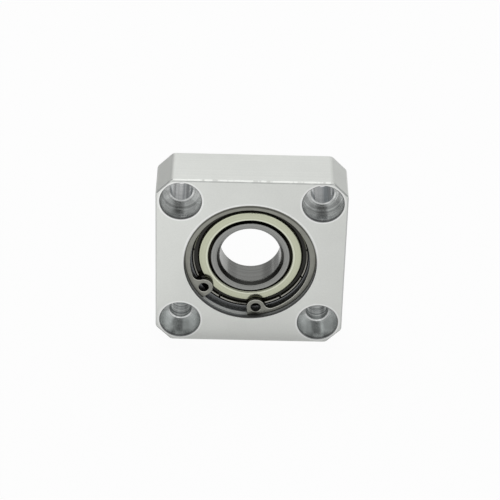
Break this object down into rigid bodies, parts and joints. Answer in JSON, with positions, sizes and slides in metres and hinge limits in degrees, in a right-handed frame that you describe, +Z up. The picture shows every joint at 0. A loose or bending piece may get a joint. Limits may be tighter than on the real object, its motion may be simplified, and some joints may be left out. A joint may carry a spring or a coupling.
{
  "type": "square flange bearing unit",
  "caption": "Square block with chamfered corners and counterbored screw holes, holding a shielded ball bearing behind a retaining ring to carry a shaft.",
  "frame": {"origin": "on the shaft axis, in the plane of the back mounting face", "axes": "+Y along the shaft axis, out of the mounting face; the retaining ring side looks along -Y; +Z up"},
  "size_m": [0.046, 0.013, 0.046],
  "materials": {
    "anodised_aluminium": "clear anodised, matt",
    "spring_steel": "phosphated and oiled",
    "bearing_steel": "ground",
    "plated_sheet_steel": "pale yellow passivated plating",
    "pressed_cage_steel": "pressed sheet",
    "polished_ball_steel": "lapped"
  },
  "bodies": {
    "housing": {"housing": "anodised_aluminium", "retaining_ring": "spring_steel", "outer_ring": "bearing_steel", "front_shield": "plated_sheet_steel", "rear_shield": "plated_sheet_steel"},
    "inner_ring": {"inner_ring": "bearing_steel"},
    "cage": {"cage_front": "pressed_cage_steel", "cage_rear": "pressed_cage_steel", "cage_rivets": "pressed_cage_steel"},
    "ball_1": {"ball_1": "polished_ball_steel"},
    "ball_2": {"ball_2": "polished_ball_steel"},
    "ball_3": {"ball_3": "polished_ball_steel"},
    "ball_4": {"ball_4": "polished_ball_steel"},
    "ball_5": {"ball_5": "polished_ball_steel"},
    "ball_6": {"ball_6": "polished_ball_steel"},
    "ball_7": {"ball_7": "polished_ball_steel"},
    "ball_8": {"ball_8": "polished_ball_steel"},
    "ball_9": {"ball_9": "polished_ball_steel"}
  },
  "joints": [
    {"name": "inner_ring_spin", "type": "hinge", "parent": "housing", "child": "inner_ring", "pos_m": [0, -0.006, 0], "axis": [0, 1, 0], "continuous": true},
    {"name": "cage_orbit", "type": "hinge", "parent": "housing", "child": "cage", "pos_m": [0, -0.006, 0], "axis": [0, 1, 0], "continuous": true},
    {"name": "ball_1_spin", "type": "hinge", "parent": "cage", "child": "ball_1", "pos_m": [0, -0.006, 0.01175], "axis": [0, 1, 0], "continuous": true},
    {"name": "ball_2_spin", "type": "hinge", "parent": "cage", "child": "ball_2", "pos_m": [-0.00755, -0.006, 0.009], "axis": [0, 1, 0], "continuous": true},
    {"name": "ball_3_spin", "type": "hinge", "parent": "cage", "child": "ball_3", "pos_m": [-0.01157, -0.006, 0.00204], "axis": [0, 1, 0], "continuous": true},
    {"name": "ball_4_spin", "type": "hinge", "parent": "cage", "child": "ball_4", "pos_m": [-0.01018, -0.006, -0.00588], "axis": [0, 1, 0], "continuous": true},
    {"name": "ball_5_spin", "type": "hinge", "parent": "cage", "child": "ball_5", "pos_m": [-0.00402, -0.006, -0.01104], "axis": [0, 1, 0], "continuous": true},
    {"name": "ball_6_spin", "type": "hinge", "parent": "cage", "child": "ball_6", "pos_m": [0.00402, -0.006, -0.01104], "axis": [0, 1, 0], "continuous": true},
    {"name": "ball_7_spin", "type": "hinge", "parent": "cage", "child": "ball_7", "pos_m": [0.01018, -0.006, -0.00588], "axis": [0, 1, 0], "continuous": true},
    {"name": "ball_8_spin", "type": "hinge", "parent": "cage", "child": "ball_8", "pos_m": [0.01157, -0.006, 0.00204], "axis": [0, 1, 0], "continuous": true},
    {"name": "ball_9_spin", "type": "hinge", "parent": "cage", "child": "ball_9", "pos_m": [0.00755, -0.006, 0.009], "axis": [0, 1, 0], "continuous": true}
  ],
  "couplings": [
    {"joint": "cage_orbit", "follows": "inner_ring_spin", "ratio": 0.39868},
    {"joint": "ball_1_spin", "follows": "inner_ring_spin", "ratio": -2.3661},
    {"joint": "ball_2_spin", "follows": "inner_ring_spin", "ratio": -2.3661},
    {"joint": "ball_3_spin", "follows": "inner_ring_spin", "ratio": -2.3661},
    {"joint": "ball_4_spin", "follows": "inner_ring_spin", "ratio": -2.3661},
    {"joint": "ball_5_spin", "follows": "inner_ring_spin", "ratio": -2.3661},
    {"joint": "ball_6_spin", "follows": "inner_ring_spin", "ratio": -2.3661},
    {"joint": "ball_7_spin", "follows": "inner_ring_spin", "ratio": -2.3661},
    {"joint": "ball_8_spin", "follows": "inner_ring_spin", "ratio": -2.3661},
    {"joint": "ball_9_spin", "follows": "inner_ring_spin", "ratio": -2.3661}
  ]
}
